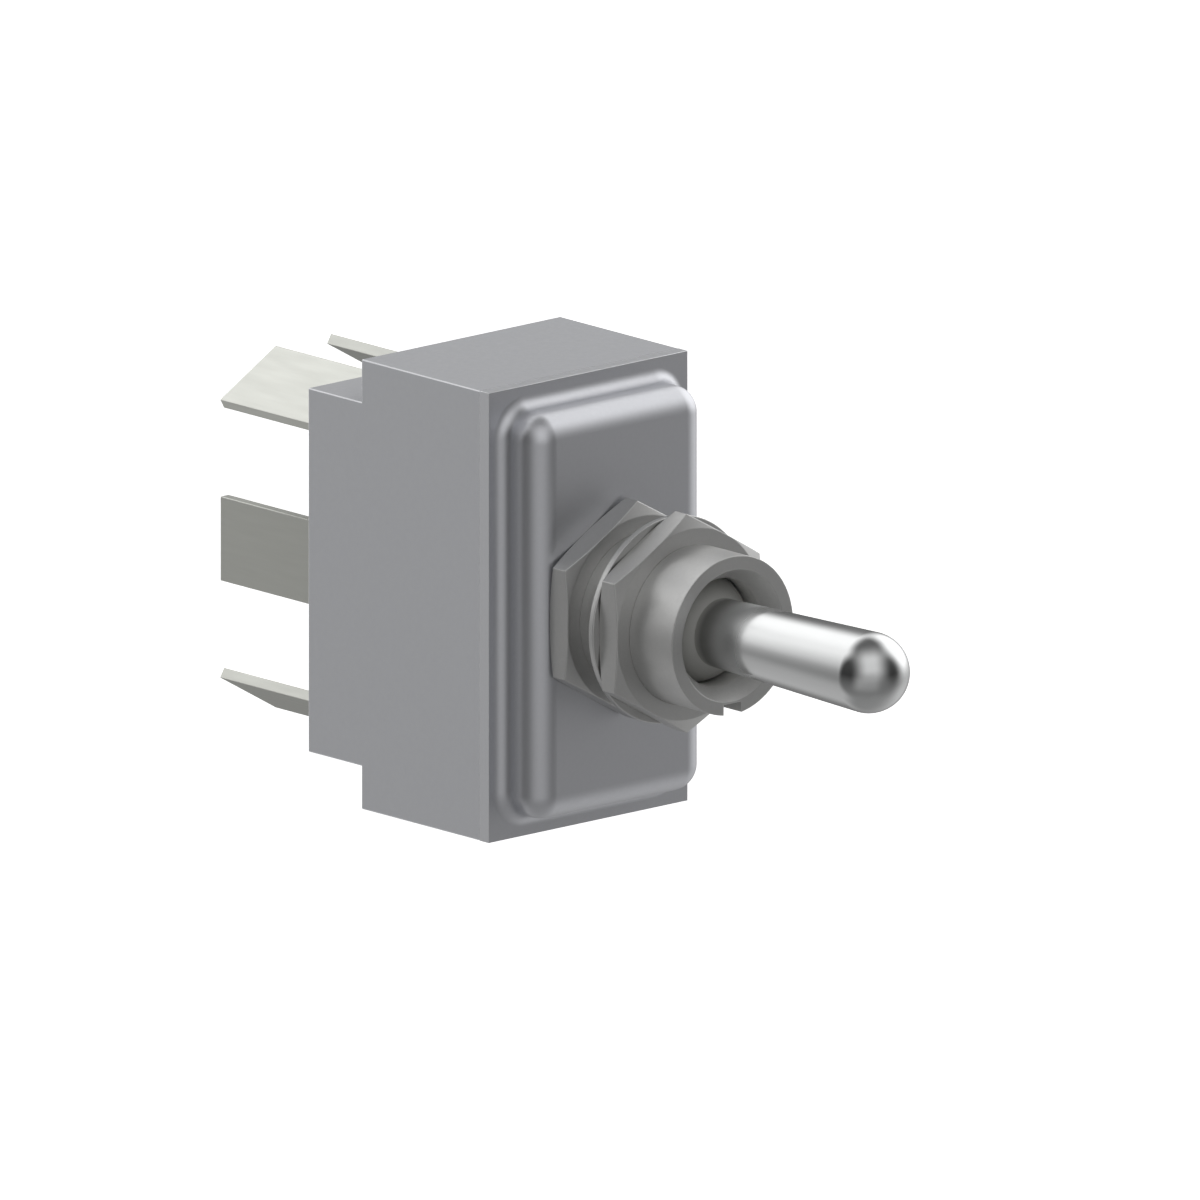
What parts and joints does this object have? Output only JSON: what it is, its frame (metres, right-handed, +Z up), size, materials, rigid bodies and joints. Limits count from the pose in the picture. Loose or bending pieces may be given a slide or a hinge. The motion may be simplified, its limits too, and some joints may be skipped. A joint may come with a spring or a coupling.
{
  "type": "panel toggle switch",
  "caption": "Panel toggle switch with a bat lever that rests in the middle, a round mounting bushing with nuts, and blade terminals.",
  "frame": {"origin": "on the bushing axis, at the front face of the raised boss where the panel hardware seats", "axes": "+Z up along the long side of the housing, -Y along the lever towards the user, +X right seen from the front"},
  "size_m": [0.0196, 0.0651, 0.034],
  "materials": {
    "housing_plastic": "satin",
    "cover_steel": "satin",
    "hardware_nickel": "satin",
    "lever_chrome": "polished",
    "terminal_brass": "satin",
    "contact_silver": "satin",
    "actuator_plastic": "matte",
    "inner_steel": "satin"
  },
  "bodies": {
    "switch_body": {"case": "housing_plastic", "cover_plate": "cover_steel", "bushing": "hardware_nickel", "rear_nut": "hardware_nickel", "lock_washer": "hardware_nickel", "front_nut": "hardware_nickel", "terminal_top_left": "terminal_brass", "terminal_top_right": "terminal_brass", "terminal_middle_left": "terminal_brass", "terminal_middle_right": "terminal_brass", "terminal_bottom_left": "terminal_brass", "terminal_bottom_right": "terminal_brass", "fixed_contact_top_left": "contact_silver", "fixed_contact_top_right": "contact_silver", "fixed_contact_bottom_left": "contact_silver", "fixed_contact_bottom_right": "contact_silver"},
    "lever": {"toggle_lever": "lever_chrome", "pivot_pin": "inner_steel", "actuator": "actuator_plastic", "plunger_spring_left": "inner_steel", "plunger_spring_right": "inner_steel"},
    "plunger_left_body": {"plunger_left": "actuator_plastic"},
    "rocker_left_body": {"rocker_left": "terminal_brass", "moving_contact_top_left": "contact_silver", "moving_contact_bottom_left": "contact_silver"},
    "plunger_right_body": {"plunger_right": "actuator_plastic"},
    "rocker_right_body": {"rocker_right": "terminal_brass", "moving_contact_top_right": "contact_silver", "moving_contact_bottom_right": "contact_silver"}
  },
  "joints": [
    {"name": "lever_rock", "type": "hinge", "parent": "switch_body", "child": "lever", "pos_m": [0, -0.00725, 0], "axis": [1, 0, 0], "range_deg": [-13, 13]},
    {"name": "plunger_left_slide", "type": "slide", "parent": "lever", "child": "plunger_left_body", "axis": [0, -1, 0], "range_m": [0, 0.001], "stiffness_N_per_m": 900, "springref_m": -0.001, "deforming": ["plunger_spring_left"]},
    {"name": "rocker_left_rock", "type": "hinge", "parent": "switch_body", "child": "rocker_left_body", "pos_m": [-0.00535, 0.0176, 0], "axis": [1, 0, 0], "range_deg": [-6.3, 6.3]},
    {"name": "plunger_right_slide", "type": "slide", "parent": "lever", "child": "plunger_right_body", "axis": [0, -1, 0], "range_m": [0, 0.001], "stiffness_N_per_m": 900, "springref_m": -0.001, "deforming": ["plunger_spring_right"]},
    {"name": "rocker_right_rock", "type": "hinge", "parent": "switch_body", "child": "rocker_right_body", "pos_m": [0.00535, 0.0176, 0], "axis": [1, 0, 0], "range_deg": [-6.3, 6.3]}
  ],
  "couplings": [
    {"joint": "rocker_left_rock", "follows": "lever_rock", "ratio": -0.48},
    {"joint": "rocker_right_rock", "follows": "lever_rock", "ratio": -0.48}
  ]
}
